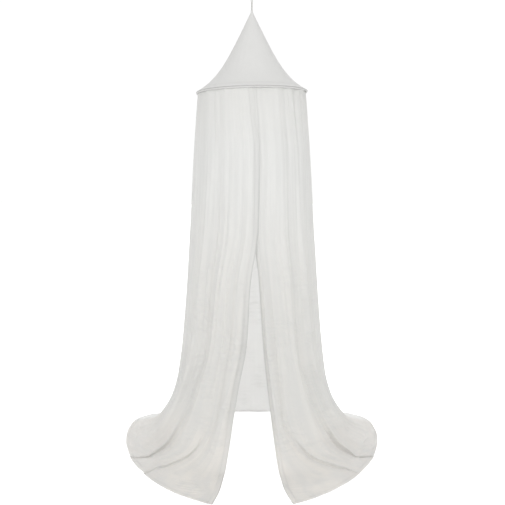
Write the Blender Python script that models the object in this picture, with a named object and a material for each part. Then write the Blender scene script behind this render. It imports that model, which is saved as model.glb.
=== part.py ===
"""Bed canopy on a hoop: a cord loop, a pointed top, a hoop in its casing and a long slit skirt.

Metres, +Z up. The origin is the inner top of the cord loop, where a ceiling hook bears.
The slit in the skirt faces -Y, and the skirt's lower part lies on the floor below.
"""

import math
from typing import NamedTuple

import bmesh
import bpy
import numpy as np
from mathutils import Matrix, Vector

# Heights, measured from the hook.
HOOP_BELOW_HOOK = 0.455
FLOOR_BELOW_HOOP = 1.612
HOOP_Z = -HOOP_BELOW_HOOK
FLOOR_Z = HOOP_Z - FLOOR_BELOW_HOOP
# The hoop hangs a little higher on its +X side: rise along X, fading to none at tip and floor.
HOOP_TILT = 0.0175

# Hoop and its cloth casing.
HOOP_RADIUS = 0.2502
HOOP_ROD_RADIUS = 0.0036
CASING_THICKNESS = 0.0012
CASING_CLEARANCE = 0.0003
CASING_SLIT_AT = math.radians(225)
CASING_SLIT_HALF = math.radians(22)
HOOP_STEPS = 56
HOOP_ROD_SIDES = 10
CASING_ARC_POINTS = 10

# Pointed top: a trumpet-shaped cone with a short neck round the cord.
TOP_THICKNESS = 0.0012
TOP_FOOT_RADIUS = 0.250
TOP_FOOT_ABOVE_HOOP = 0.0064
TOP_TIP_ABOVE_HOOP = 0.366
TIP_Z = HOOP_Z + TOP_TIP_ABOVE_HOOP
TOP_STRAIGHT_SHARE = 0.71
TOP_FLARE_SHARE = 0.29
TOP_FLARE_FADE = 0.20
TOP_NECK_RADIUS = 0.0044
TOP_PROFILE_POINTS = 11
TOP_STEPS = 48

# Cord loop.
CORD_DIAMETER = 0.0032
CORD_POINTS = 46
CORD_SIDES_RESOLUTION = 2

# Skirt cloth.
CLOTH_THICKNESS = 0.0015
SKIRT_TOP_DROP = 0.0070
CONTACT_DROP = FLOOR_BELOW_HOOP - CLOTH_THICKNESS / 2
FLOOR_RUN = 1.0
STEPS_PER_FOLD = 3
OUTLINE_SAMPLES = 240
UNDERLAP_DEPTH = 0.006
UNDERLAP_FULL_WIDTH = 0.05
UNDERLAP_END_WIDTH = 0.15
UNDERLAP_FULL_DROP = 0.62
UNDERLAP_END_DROP = 1.00

# Rows of the skirt's mesh: drops below the hoop, then shares of the way from first contact to hem.
HANGING_ROWS = (
    SKIRT_TOP_DROP, 0.07, 0.17, 0.30, 0.44, 0.58, 0.72, 0.86, 0.99, 1.11, 1.21,
    1.30, 1.375, 1.435, 1.485, 1.525, 1.558, 1.583, 1.600, CONTACT_DROP,
)
FLOOR_ROWS = (0.15, 0.32, 0.50, 0.68, 0.85, 1.0)


class Section(NamedTuple):
    """The skirt's outline in plan at one level, before its folds.

    Past first contact the level is CONTACT_DROP plus the share of the way to the hem.
    """

    level: float
    side: float  # half the width
    front: float  # reach towards -Y from centre
    back: float  # reach towards +Y from centre
    centre: float  # where the outline is widest, along Y
    front_power: float  # 2 is an ellipse, less is straighter
    back_power: float  # 2 is an ellipse, more is squarer
    right_edge: float  # the slit's edge on the +X side; negative is past the middle
    left_edge: float  # the slit's edge on the -X side, measured the other way


SECTIONS = (
    Section(SKIRT_TOP_DROP, 0.2462, 0.2462, 0.2462, 0.0, 2.0, 2.0, -0.004, -0.008),
    Section(0.12, 0.2550, 0.2540, 0.2500, 0.0, 2.0, 2.0, 0.004, -0.018),
    Section(0.30, 0.268, 0.266, 0.256, 0.0, 2.0, 2.0, 0.014, -0.035),
    Section(0.60, 0.283, 0.286, 0.268, 0.0, 2.0, 2.0, 0.011, -0.030),
    Section(0.85, 0.296, 0.304, 0.280, 0.0, 2.0, 2.2, 0.033, 0.006),
    Section(1.10, 0.314, 0.326, 0.294, 0.0, 2.0, 2.4, 0.050, 0.022),
    Section(1.30, 0.337, 0.356, 0.310, 0.0, 2.0, 2.6, 0.072, 0.061),
    Section(1.42, 0.370, 0.386, 0.322, 0.0, 2.0, 2.8, 0.087, 0.082),
    Section(1.52, 0.420, 0.420, 0.333, 0.0, 2.0, 3.0, 0.100, 0.097),
    Section(1.58, 0.464, 0.452, 0.340, 0.0, 2.0, 3.2, 0.108, 0.107),
    Section(CONTACT_DROP, 0.505, 0.492, 0.345, 0.0, 2.0, 3.4, 0.113, 0.112),
    Section(CONTACT_DROP + 0.5, 0.562, 0.690, 0.322, 0.028, 1.90, 3.8, 0.128, 0.124),
    Section(CONTACT_DROP + 1.0, 0.600, 0.868, 0.305, 0.050, 1.83, 4.0, 0.156, 0.148),
)


class Fold(NamedTuple):
    """One line of the cloth down the left half of the skirt, for instance a ridge or a valley.

    The places are shares of the way from the slit's edge round to the middle of the back.
    The heights are how far the line stands out from the plain outline.
    """

    name: str
    # Places at the five PLACE_LEVELS.
    hanging_place: float
    flare_place: float
    landing_place: float
    contact_place: float
    hem_place: float
    # Heights at the eight RELIEF_LEVELS, the first one apart for the right half.
    left_at_hoop: float
    right_at_hoop: float
    at_chest: float
    at_knee: float
    at_flare: float
    at_landing: float
    at_contact: float
    on_floor: float
    at_hem: float
    # How far the line leans over the one before it where the cloth lies on the floor.
    overhang: float


PLACE_LEVELS = (1.20, 1.42, 1.56, 1.64, CONTACT_DROP + 1.0)
RELIEF_LEVELS = (SKIRT_TOP_DROP, 0.60, 1.20, 1.42, 1.56, 1.64, 1.95, CONTACT_DROP + 1.0)
FOLDS = (
    Fold("slit edge", 0.000, 0.000, 0.000, 0.000, 0.000,
         0.000, 0.000, 0.000, -0.004, -0.005, -0.002, 0.000, 0.000, 0.000, 0.000),
    Fold("first ridge", 0.045, 0.045, 0.054, 0.070, 0.080,
         0.001, 0.001, 0.003, 0.009, 0.010, 0.007, 0.004, 0.002, 0.001, 0.000),
    Fold("first valley", 0.098, 0.087, 0.126, 0.176, 0.238,
         -0.001, -0.001, -0.003, -0.010, -0.009, -0.008, 0.000, 0.000, 0.000, 0.000),
    Fold("front crease lip", 0.118, 0.108, 0.140, 0.188, 0.250,
         0.000, 0.000, 0.000, -0.003, -0.003, 0.007, 0.012, 0.009, 0.004, 0.014),
    Fold("second ridge", 0.163, 0.180, 0.192, 0.222, 0.280,
         0.002, 0.002, 0.006, 0.013, 0.014, 0.018, 0.022, 0.020, 0.005, 0.006),
    Fold("middle shoulder", 0.186, 0.225, 0.246, 0.256, 0.318,
         0.000, -0.001, 0.001, 0.000, -0.004, -0.002, 0.008, 0.010, 0.003, 0.000),
    Fold("deep valley", 0.203, 0.268, 0.281, 0.279, 0.352,
         -0.002, -0.004, -0.006, -0.018, -0.031, -0.028, 0.000, 0.001, 0.000, 0.000),
    Fold("side crease lip", 0.235, 0.290, 0.296, 0.291, 0.364,
         -0.001, 0.002, -0.003, -0.012, -0.019, -0.004, 0.015, 0.012, 0.005, 0.016),
    Fold("side ridge", 0.285, 0.335, 0.350, 0.355, 0.410,
         0.002, -0.004, 0.006, 0.012, 0.014, 0.026, 0.044, 0.040, 0.010, 0.006),
    Fold("side valley", 0.345, 0.410, 0.430, 0.440, 0.475,
         -0.001, 0.003, -0.003, -0.006, -0.002, 0.012, 0.030, 0.026, 0.006, 0.000),
    Fold("rear side ridge", 0.430, 0.490, 0.510, 0.520, 0.550,
         0.001, -0.002, 0.005, 0.009, 0.010, 0.020, 0.036, 0.030, 0.008, 0.000),
    Fold("rear side valley", 0.530, 0.575, 0.595, 0.600, 0.625,
         -0.001, 0.001, -0.004, -0.008, -0.008, 0.002, 0.014, 0.012, 0.003, 0.000),
    Fold("rear ridge", 0.630, 0.665, 0.680, 0.680, 0.700,
         0.001, -0.001, 0.004, 0.007, 0.008, 0.008, 0.010, 0.006, 0.002, 0.000),
    Fold("rear valley", 0.740, 0.765, 0.770, 0.770, 0.785,
         -0.001, 0.001, -0.003, -0.005, -0.006, -0.003, 0.000, 0.000, 0.000, 0.000),
    Fold("back ridge", 0.870, 0.870, 0.870, 0.870, 0.880,
         0.001, -0.001, 0.003, 0.005, 0.004, 0.002, 0.000, 0.000, 0.000, 0.000),
    Fold("middle of the back", 1.000, 1.000, 1.000, 1.000, 1.000,
         0.000, 0.000, -0.001, -0.002, -0.001, 0.000, 0.000, 0.000, 0.000, 0.000),
)
# The right half's folds lie a little nearer to its edge.
RIGHT_SHIFT = 0.040
RIGHT_SHIFT_FULL = 0.05
RIGHT_SHIFT_END = 0.27
OVERHANG_START = 1.47
OVERHANG_FULL = 1.57


def smooth_curve(at, stops, values):
    """Values at the given places on a smooth curve that goes through the stops and never past them."""
    stops = np.asarray(stops, float)
    values = np.asarray(values, float)
    at = np.clip(np.asarray(at, float), stops[0], stops[-1])
    gaps = np.diff(stops)
    rises = np.diff(values) / gaps
    slopes = np.concatenate([rises[:1], np.zeros(len(stops) - 2), rises[-1:]])
    for i in range(1, len(stops) - 1):
        before, after = rises[i - 1], rises[i]
        if before * after > 0:
            first, second = 2 * gaps[i] + gaps[i - 1], gaps[i] + 2 * gaps[i - 1]
            slopes[i] = (first + second) / (first / before + second / after)
    low = np.clip(np.searchsorted(stops, at, side="right") - 1, 0, len(stops) - 2)
    t = (at - stops[low]) / gaps[low]
    start = values[low] * (1 + 2 * t) * (1 - t) ** 2
    end = values[low + 1] * t * t * (3 - 2 * t)
    bends = gaps[low] * t * (1 - t) * (slopes[low] * (1 - t) - slopes[low + 1] * t)
    return start + end + bends


def tilted(x, z):
    """The height of a point once the hoop's slight tilt is taken in."""
    share = np.interp(z, (FLOOR_Z, HOOP_Z, TIP_Z), (0.0, 1.0, 0.0))
    return z + HOOP_TILT * x * share


def ease(share):
    """0 to 1 with level ends."""
    share = np.clip(share, 0.0, 1.0)
    return share * share * (3 - 2 * share)


def section_at(level):
    """The section at any level, read from the table by smooth curves."""
    stops = [section.level for section in SECTIONS]
    return Section(
        level,
        *(
            float(smooth_curve(level, stops, [section[column] for section in SECTIONS]))
            for column in range(1, len(Section._fields))
        ),
    )


def outline_points(section, edge, places):
    """Points of half an outline, the +X half, at shares of its length from slit edge to back."""
    share = min(abs(edge) / section.side, 1.0) ** (section.front_power / 2)
    first = math.copysign(math.asin(share), edge)
    angle = np.linspace(first, math.pi, OUTLINE_SAMPLES)
    ahead = np.cos(angle) > 0
    power = 2 / np.where(ahead, section.front_power, section.back_power)
    x = section.side * np.sign(np.sin(angle)) * np.abs(np.sin(angle)) ** power
    reach = np.where(ahead, section.front, section.back)
    y = section.centre - reach * np.sign(np.cos(angle)) * np.abs(np.cos(angle)) ** power
    x[-1] = 0.0
    along = np.concatenate([[0.0], np.cumsum(np.hypot(np.diff(x), np.diff(y)))])
    at = np.asarray(places) * along[-1]
    return np.stack([np.interp(at, along, x), np.interp(at, along, y)], axis=1)


def fold_columns():
    """The columns of half the skirt, as places in the fold table: 1.5 is midway from row 1 to 2."""
    return np.arange((len(FOLDS) - 1) * STEPS_PER_FOLD + 1) / STEPS_PER_FOLD


def column_places(columns, level, right):
    """How far round each column is at this level, from slit edge, 0, to the back, 1."""
    places = [smooth_curve(level, PLACE_LEVELS, fold[1:6]) for fold in FOLDS]
    places = np.interp(columns, range(len(FOLDS)), places)
    if right:
        near = np.clip(places / RIGHT_SHIFT_FULL, 0, 1)
        places = places - RIGHT_SHIFT * near * np.clip(1 - places / RIGHT_SHIFT_END, 0, 1)
    return places


def between_folds(columns, values):
    """Values given for each fold, eased from one fold to the next."""
    low = np.clip(columns.astype(int), 0, len(FOLDS) - 2)
    values = np.asarray(values)
    return values[low] + ease(columns - low) * (values[low + 1] - values[low])


def fold_relief(columns, level, right):
    """How far each column stands out from the plain outline at this level."""
    heights = [
        smooth_curve(level, RELIEF_LEVELS, [fold.right_at_hoop if right else fold.left_at_hoop, *fold[8:15]])
        for fold in FOLDS
    ]
    return between_folds(columns, heights)


def fold_overhang(columns, level):
    """How far each column leans towards the slit where the cloth lies on the floor."""
    grown = ease((level - OVERHANG_START) / (OVERHANG_FULL - OVERHANG_START))
    return grown * between_folds(columns, [fold.overhang for fold in FOLDS])


def underlap(places, level):
    """How far the right-hand edge is tucked in behind the left-hand one, near the hoop."""
    near_edge = 1 - ease((places - UNDERLAP_FULL_WIDTH) / (UNDERLAP_END_WIDTH - UNDERLAP_FULL_WIDTH))
    high_up = 1 - ease((level - UNDERLAP_FULL_DROP) / (UNDERLAP_END_DROP - UNDERLAP_FULL_DROP))
    return UNDERLAP_DEPTH * near_edge * high_up


def skirt_grid():
    """The middle surface of the skirt: rows from hoop to hem, columns from +X slit edge round to -X."""
    levels = [*HANGING_ROWS, *(CONTACT_DROP + FLOOR_RUN * share for share in FLOOR_ROWS)]
    columns = fold_columns()
    base, relief, lean = [], [], []
    for level in levels:
        section = section_at(level)
        right_places = column_places(columns, level, True)
        left_places = column_places(columns, level, False)
        right = outline_points(section, section.right_edge, right_places)
        left = outline_points(section, section.left_edge, left_places) * (-1, 1)
        height = HOOP_Z - min(level, CONTACT_DROP)
        plan = np.concatenate([right, left[-2::-1]])
        base.append(np.column_stack([plan, np.full(len(plan), height)]))
        right_relief = fold_relief(columns, level, True) - underlap(right_places, level)
        relief.append(np.concatenate([right_relief, fold_relief(columns, level, False)[-2::-1]]))
        overhang = fold_overhang(columns, level)
        lean.append(np.concatenate([-overhang, overhang[-2::-1]]))
    base = np.array(base)
    down, across = np.gradient(base, axis=0), np.gradient(base, axis=1)
    normal = np.cross(down, across)
    normal /= np.linalg.norm(normal, axis=2, keepdims=True)
    across /= np.linalg.norm(across, axis=2, keepdims=True)
    surface = base + normal * np.array(relief)[:, :, None] + across * np.array(lean)[:, :, None]
    surface[:, :, 2] = np.maximum(surface[:, :, 2], FLOOR_Z + CLOTH_THICKNESS / 2)
    surface[0, :, 2] = HOOP_Z - SKIRT_TOP_DROP
    surface[:, :, 2] = tilted(surface[:, :, 0], surface[:, :, 2])
    return surface


def material(name, colour, roughness, metallic=0.0):
    """A plain material of the given colour."""
    made = bpy.data.materials.new(name)
    made.use_nodes = True
    shader = made.node_tree.nodes["Principled BSDF"]
    shader.inputs["Base Color"].default_value = (*colour, 1.0)
    shader.inputs["Roughness"].default_value = roughness
    shader.inputs["Metallic"].default_value = metallic
    return made


def add_object(name, data, finish):
    """Links an object of this mesh or curve, with its material."""
    data.materials.append(finish)
    made = bpy.data.objects.new(name, data)
    bpy.context.scene.collection.objects.link(made)
    return made


def turned(name, profile, steps, finish, height):
    """A closed profile of (radius, height) points turned round the Z axis."""
    work = bmesh.new()
    points = [work.verts.new((radius, 0.0, z)) for radius, z in profile]
    edges = [work.edges.new(pair) for pair in zip(points, points[1:] + points[:1])]
    bmesh.ops.spin(
        work, geom=points + edges, cent=(0, 0, 0), axis=(0, 0, 1),
        angle=2 * math.pi, steps=steps, use_merge=True,
    )
    bmesh.ops.recalc_face_normals(work, faces=work.faces)
    for vert in work.verts:
        vert.co.z = tilted(vert.co.x, vert.co.z + height)
    mesh = bpy.data.meshes.new(name)
    work.to_mesh(mesh)
    work.free()
    mesh.shade_smooth()
    mesh.set_sharp_from_angle(angle=math.radians(50))
    return add_object(name, mesh, finish)


def ring_profile(radius, count, first=0.0, last=2 * math.pi):
    """Points on a circle round the hoop's centreline."""
    whole_turn = last - first >= 2 * math.pi
    angles = np.linspace(first, last, count + 1 if whole_turn else count)
    angles = angles[:-1] if whole_turn else angles
    return [(HOOP_RADIUS + radius * math.cos(a), radius * math.sin(a)) for a in angles]


def make_hoop(finish):
    """The round rod that spreads the canopy."""
    return turned("hoop", ring_profile(HOOP_ROD_RADIUS, HOOP_ROD_SIDES), HOOP_STEPS, finish, HOOP_Z)


def make_casing(finish):
    """The cloth tube round the hoop, open along the inner lower side where the skirt is sewn in."""
    first = CASING_SLIT_AT + CASING_SLIT_HALF
    last = CASING_SLIT_AT - CASING_SLIT_HALF + 2 * math.pi
    half_step = (last - first) / (CASING_ARC_POINTS - 1) / 2
    inner = (HOOP_ROD_RADIUS + CASING_CLEARANCE) / math.cos(half_step)
    inside = ring_profile(inner, CASING_ARC_POINTS, first, last)
    outside = ring_profile(inner + CASING_THICKNESS, CASING_ARC_POINTS, first, last)
    return turned("hoop_casing", outside + inside[::-1], HOOP_STEPS, finish, HOOP_Z)


def top_radius(height):
    """The pointed top's radius at a height above the hoop."""
    share = (height - TOP_FOOT_ABOVE_HOOP) / (TOP_TIP_ABOVE_HOOP - TOP_FOOT_ABOVE_HOOP)
    flare = TOP_STRAIGHT_SHARE + TOP_FLARE_SHARE * math.exp(-share / TOP_FLARE_FADE)
    return max(TOP_FOOT_RADIUS * (1 - share) * flare, TOP_NECK_RADIUS)


def make_top(finish):
    """The pointed top, a shell that is open at its foot and at its neck."""
    span = TOP_TIP_ABOVE_HOOP - TOP_FOOT_ABOVE_HOOP
    shares = np.linspace(0, 1, TOP_PROFILE_POINTS) ** 1.35
    heights = TOP_FOOT_ABOVE_HOOP + span * shares
    middle = np.array([(top_radius(z), z) for z in heights])
    along = np.gradient(middle, axis=0)
    along /= np.linalg.norm(along, axis=1, keepdims=True)
    outward = np.column_stack([along[:, 1], -along[:, 0]]) * TOP_THICKNESS / 2
    profile = [*map(tuple, middle + outward), *map(tuple, (middle - outward)[::-1])]
    return turned("pointed_top", profile, TOP_STEPS, finish, HOOP_Z)


def cord_route():
    """Half the cord's route, from inside the neck up to the hook, then the same mirrored."""
    strand = CORD_DIAMETER / 2 + 0.00015
    up = [
        (-strand, -0.1050), (-strand, -0.0970), (-strand, -0.0890), (-strand, -0.0760),
        (-0.0019, -0.0620), (-0.0025, -0.0500), (-0.0037, -0.0390), (-0.0054, -0.0280),
        (-0.0071, -0.0170), (-0.0078, -0.0085), (-0.0062, -0.0018),
    ]
    over = [(0.0, CORD_DIAMETER / 2)]
    down = [(-x, z) for x, z in reversed(up)]
    return [Vector((x, 0.0, z)) for x, z in up + over + down]


def make_cord(finish):
    """The cord loop that hangs the canopy from its hook."""
    route = cord_route()
    along = np.linspace(0, 1, len(route))
    axes = [smooth_curve(np.linspace(0, 1, CORD_POINTS), along, [p[k] for p in route]) for k in range(3)]
    curve = bpy.data.curves.new("hanging_cord", "CURVE")
    curve.dimensions = "3D"
    spline = curve.splines.new("POLY")
    spline.points.add(CORD_POINTS - 1)
    for point, x, y, z in zip(spline.points, *axes):
        point.co = (x, y, z, 1.0)
    curve.bevel_depth = CORD_DIAMETER / 2
    curve.bevel_resolution = CORD_SIDES_RESOLUTION
    curve.use_fill_caps = True
    return add_object("hanging_cord", curve, finish)


def make_skirt(finish):
    """The skirt: one sheet from the hoop to the floor, open down the front."""
    surface = skirt_grid()
    rows, columns = surface.shape[:2]
    work = bmesh.new()
    bmesh.ops.create_grid(
        work, x_segments=columns - 1, y_segments=rows - 1, size=1.0, matrix=Matrix.Identity(4)
    )
    for vert in work.verts:
        row = round((vert.co.y + 1) / 2 * (rows - 1))
        column = round((vert.co.x + 1) / 2 * (columns - 1))
        vert.co = surface[row, column]
    bmesh.ops.recalc_face_normals(work, faces=work.faces)
    mesh = bpy.data.meshes.new("skirt")
    work.to_mesh(mesh)
    work.free()
    mesh.shade_smooth()
    made = add_object("skirt", mesh, finish)
    wall = made.modifiers.new("Cloth thickness", "SOLIDIFY")
    wall.thickness = CLOTH_THICKNESS
    wall.offset = 0.0
    return made


def main():
    """Clears the scene and builds the canopy."""
    for old in list(bpy.data.objects):
        bpy.data.objects.remove(old, do_unlink=True)
    gauze = material("Washed cotton gauze", (0.80, 0.79, 0.765), 0.9)
    cotton = material("Plain cotton", (0.78, 0.775, 0.755), 0.85)
    binding = material("Casing cotton", (0.70, 0.695, 0.675), 0.85)
    rod = material("Hoop rod", (0.75, 0.75, 0.74), 0.45)
    cord = material("Cotton cord", (0.66, 0.655, 0.635), 0.85)
    make_cord(cord)
    make_top(cotton)
    make_hoop(rod)
    make_casing(binding)
    make_skirt(gauze)


main()
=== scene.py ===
"""Bed canopy on a hoop: the looks of its cord, pointed top, hoop, casing and long slit skirt.

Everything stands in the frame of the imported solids: metres, +Z up, the slit towards -Y and the
origin at the inner top of the cord loop.
"""

import logging
import math
from dataclasses import dataclass
from enum import Enum
from typing import NamedTuple, Optional, Sequence

import bmesh
import bpy
import numpy as np
from mathutils import Matrix, Vector, noise


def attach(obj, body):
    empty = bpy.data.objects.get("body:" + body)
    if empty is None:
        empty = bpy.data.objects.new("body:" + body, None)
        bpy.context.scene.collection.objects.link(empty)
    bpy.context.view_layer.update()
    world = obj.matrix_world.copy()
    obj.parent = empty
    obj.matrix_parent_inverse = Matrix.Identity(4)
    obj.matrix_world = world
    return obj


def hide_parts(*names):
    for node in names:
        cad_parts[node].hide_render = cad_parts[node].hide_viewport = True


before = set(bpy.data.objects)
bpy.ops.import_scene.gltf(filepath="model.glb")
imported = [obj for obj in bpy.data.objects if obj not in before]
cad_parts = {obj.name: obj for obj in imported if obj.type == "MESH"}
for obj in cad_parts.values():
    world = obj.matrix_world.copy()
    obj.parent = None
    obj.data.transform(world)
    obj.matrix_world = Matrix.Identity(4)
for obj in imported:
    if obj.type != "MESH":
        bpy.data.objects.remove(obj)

log = logging.getLogger("bed_canopy")

# Heights, measured from the hook unless their names say otherwise.
HOOP_Z = -0.455
FLOOR_BELOW_HOOP = 1.612
FLOOR_Z = HOOP_Z - FLOOR_BELOW_HOOP
TIP_ABOVE_HOOP = 0.366
TIP_Z = HOOP_Z + TIP_ABOVE_HOOP
HOOP_TILT = 0.0175
HOOP_RADIUS = 0.2502

# The skirt's levels are drops below the hoop, and past first contact with the floor
# they go on as CONTACT_DROP plus the share of the way to the hem.
SKIRT_TOP_DROP = 0.0070
CONTACT_DROP = FLOOR_BELOW_HOOP - 0.00075


class Section(NamedTuple):
    """The skirt's outline in plan at one level, before its folds."""

    level: float
    side: float  # half the width
    front: float  # reach towards -Y from centre
    back: float  # reach towards +Y from centre
    centre: float  # where the outline is widest, along Y
    front_power: float  # 2 is an ellipse, less is straighter
    back_power: float  # 2 is an ellipse, more is squarer
    right_edge: float  # the slit's edge on the +X side; negative is past the middle
    left_edge: float  # the slit's edge on the -X side, measured the other way


SECTIONS = (
    Section(SKIRT_TOP_DROP, 0.2462, 0.2462, 0.2462, 0.0, 2.0, 2.0, -0.004, -0.008),
    Section(0.12, 0.2550, 0.2540, 0.2500, 0.0, 2.0, 2.0, 0.004, -0.018),
    Section(0.30, 0.268, 0.266, 0.256, 0.0, 2.0, 2.0, 0.014, -0.035),
    Section(0.60, 0.283, 0.286, 0.268, 0.0, 2.0, 2.0, 0.011, -0.030),
    Section(0.85, 0.296, 0.304, 0.280, 0.0, 2.0, 2.2, 0.033, 0.006),
    Section(1.10, 0.314, 0.326, 0.294, 0.0, 2.0, 2.4, 0.050, 0.022),
    Section(1.30, 0.337, 0.356, 0.310, 0.0, 2.0, 2.6, 0.072, 0.061),
    Section(1.42, 0.370, 0.386, 0.322, 0.0, 2.0, 2.8, 0.087, 0.082),
    Section(1.52, 0.420, 0.420, 0.333, 0.0, 2.0, 3.0, 0.100, 0.097),
    Section(1.58, 0.464, 0.452, 0.340, 0.0, 2.0, 3.2, 0.108, 0.107),
    Section(CONTACT_DROP, 0.505, 0.492, 0.345, 0.0, 2.0, 3.4, 0.113, 0.112),
    Section(CONTACT_DROP + 0.5, 0.562, 0.690, 0.322, 0.028, 1.90, 3.8, 0.128, 0.124),
    Section(CONTACT_DROP + 1.0, 0.600, 0.868, 0.305, 0.050, 1.83, 4.0, 0.156, 0.148),
)


class Fold(NamedTuple):
    """One line of the cloth down the left half of the skirt, for instance a ridge or a valley.

    A place is a share of the way from the slit's edge round to the middle of the back, with one for
    each of the PLACE_LEVELS. A height is how far the line stands out from the plain outline, with
    one for each of the RELIEF_LEVELS.
    """

    name: str
    places: tuple[float, ...]
    heights: tuple[float, ...]
    right_at_hoop: float  # the right half's first height
    overhang: float  # how far the line leans over the one before it on the floor


PLACE_LEVELS = (1.20, 1.42, 1.56, 1.64, CONTACT_DROP + 1.0)
RELIEF_LEVELS = (SKIRT_TOP_DROP, 0.60, 1.20, 1.42, 1.56, 1.64, 1.95, CONTACT_DROP + 1.0)
FOLDS = (
    Fold("slit edge", (0.000, 0.000, 0.000, 0.000, 0.000),
         (0.000, 0.000, -0.004, -0.005, -0.002, 0.000, 0.000, 0.000), 0.000, 0.000),
    Fold("first ridge", (0.045, 0.045, 0.054, 0.070, 0.080),
         (0.001, 0.003, 0.009, 0.010, 0.007, 0.004, 0.002, 0.001), 0.001, 0.000),
    Fold("first valley", (0.098, 0.087, 0.126, 0.176, 0.238),
         (-0.001, -0.003, -0.010, -0.009, -0.008, 0.000, 0.000, 0.000), -0.001, 0.000),
    Fold("front crease lip", (0.118, 0.108, 0.140, 0.188, 0.250),
         (0.000, 0.000, -0.003, -0.003, 0.007, 0.012, 0.009, 0.004), 0.000, 0.014),
    Fold("second ridge", (0.163, 0.180, 0.192, 0.222, 0.280),
         (0.002, 0.006, 0.013, 0.014, 0.018, 0.022, 0.020, 0.005), 0.002, 0.006),
    Fold("middle shoulder", (0.186, 0.225, 0.246, 0.256, 0.318),
         (0.000, 0.001, 0.000, -0.004, -0.002, 0.008, 0.010, 0.003), -0.001, 0.000),
    Fold("deep valley", (0.203, 0.268, 0.281, 0.279, 0.352),
         (-0.002, -0.006, -0.018, -0.031, -0.028, 0.000, 0.001, 0.000), -0.004, 0.000),
    Fold("side crease lip", (0.235, 0.290, 0.296, 0.291, 0.364),
         (-0.001, -0.003, -0.012, -0.019, -0.004, 0.015, 0.012, 0.005), 0.002, 0.016),
    Fold("side ridge", (0.285, 0.335, 0.350, 0.355, 0.410),
         (0.002, 0.006, 0.012, 0.014, 0.026, 0.044, 0.040, 0.010), -0.004, 0.006),
    Fold("side valley", (0.345, 0.410, 0.430, 0.440, 0.475),
         (-0.001, -0.003, -0.006, -0.002, 0.012, 0.030, 0.026, 0.006), 0.003, 0.000),
    Fold("rear side ridge", (0.430, 0.490, 0.510, 0.520, 0.550),
         (0.001, 0.005, 0.009, 0.010, 0.020, 0.036, 0.030, 0.008), -0.002, 0.000),
    Fold("rear side valley", (0.530, 0.575, 0.595, 0.600, 0.625),
         (-0.001, -0.004, -0.008, -0.008, 0.002, 0.014, 0.012, 0.003), 0.001, 0.000),
    Fold("rear ridge", (0.630, 0.665, 0.680, 0.680, 0.700),
         (0.001, 0.004, 0.007, 0.008, 0.008, 0.010, 0.006, 0.002), -0.001, 0.000),
    Fold("rear valley", (0.740, 0.765, 0.770, 0.770, 0.785),
         (-0.001, -0.003, -0.005, -0.006, -0.003, 0.000, 0.000, 0.000), 0.001, 0.000),
    Fold("back ridge", (0.870, 0.870, 0.870, 0.870, 0.880),
         (0.001, 0.003, 0.005, 0.004, 0.002, 0.000, 0.000, 0.000), -0.001, 0.000),
    Fold("middle of the back", (1.000, 1.000, 1.000, 1.000, 1.000),
         (0.000, -0.001, -0.002, -0.001, 0.000, 0.000, 0.000, 0.000), 0.000, 0.000),
)


class Pleat(NamedTuple):
    """A narrow pleat that starts under the casing and dies out down the cloth."""

    right_half: bool
    place: float
    height: float
    width: float
    ends_at: float


PLEATS = (
    Pleat(True, 0.151, 0.0012, 0.012, 0.60),
    Pleat(True, 0.225, -0.0030, 0.009, 0.36),
    Pleat(True, 0.250, 0.0020, 0.011, 0.42),
    Pleat(True, 0.277, -0.0036, 0.010, 0.40),
    Pleat(True, 0.307, 0.0024, 0.011, 0.34),
    Pleat(True, 0.338, -0.0040, 0.011, 0.36),
    Pleat(True, 0.377, -0.0030, 0.010, 0.30),
    Pleat(True, 0.036, 0.0010, 0.012, 0.90),
    Pleat(False, 0.190, -0.0014, 0.010, 0.95),
    Pleat(False, 0.216, 0.0016, 0.011, 1.05),
    Pleat(False, 0.240, -0.0016, 0.010, 0.90),
    Pleat(False, 0.272, 0.0012, 0.012, 0.80),
    Pleat(False, 0.400, -0.0018, 0.014, 0.90),
    Pleat(False, 0.075, 0.0010, 0.010, 0.80),
    Pleat(False, 0.630, -0.0020, 0.014, 0.80),
    Pleat(True, 0.600, -0.0020, 0.014, 0.90),
    Pleat(True, 0.830, 0.0016, 0.014, 0.90),
)


class Half(Enum):
    """The two halves of the skirt, either side of its slit, each with the seed of its fine folds."""

    RIGHT = 3.0
    LEFT = 11.0


def smooth_curve(at: np.ndarray | float, stops: Sequence[float], values: Sequence[float]) -> np.ndarray:
    """A smooth curve that goes through the stops and never past them.

    Args:
        at: where to read the curve.
        stops: the places of the known values, rising.
        values: the known values.

    Returns:
        The curve's values.
    """
    stops = np.asarray(stops, float)
    values = np.asarray(values, float)
    at = np.clip(np.asarray(at, float), stops[0], stops[-1])
    gaps = np.diff(stops)
    rises = np.diff(values) / gaps
    slopes = np.concatenate([rises[:1], np.zeros(len(stops) - 2), rises[-1:]])
    for i in range(1, len(stops) - 1):
        before, after = rises[i - 1], rises[i]
        if before * after > 0:
            first, second = 2 * gaps[i] + gaps[i - 1], gaps[i] + 2 * gaps[i - 1]
            slopes[i] = (first + second) / (first / before + second / after)
    low = np.clip(np.searchsorted(stops, at, side="right") - 1, 0, len(stops) - 2)
    t = (at - stops[low]) / gaps[low]
    start = values[low] * (1 + 2 * t) * (1 - t) ** 2
    end = values[low + 1] * t * t * (3 - 2 * t)
    bends = gaps[low] * t * (1 - t) * (slopes[low] * (1 - t) - slopes[low + 1] * t)
    return start + end + bends


def ease(value: np.ndarray | float, start: float = 0.0, end: float = 1.0) -> np.ndarray:
    """0 to 1 with level ends, as a value goes from start to end."""
    share = np.clip((value - start) / (end - start), 0.0, 1.0)
    return share * share * (3 - 2 * share)


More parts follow.
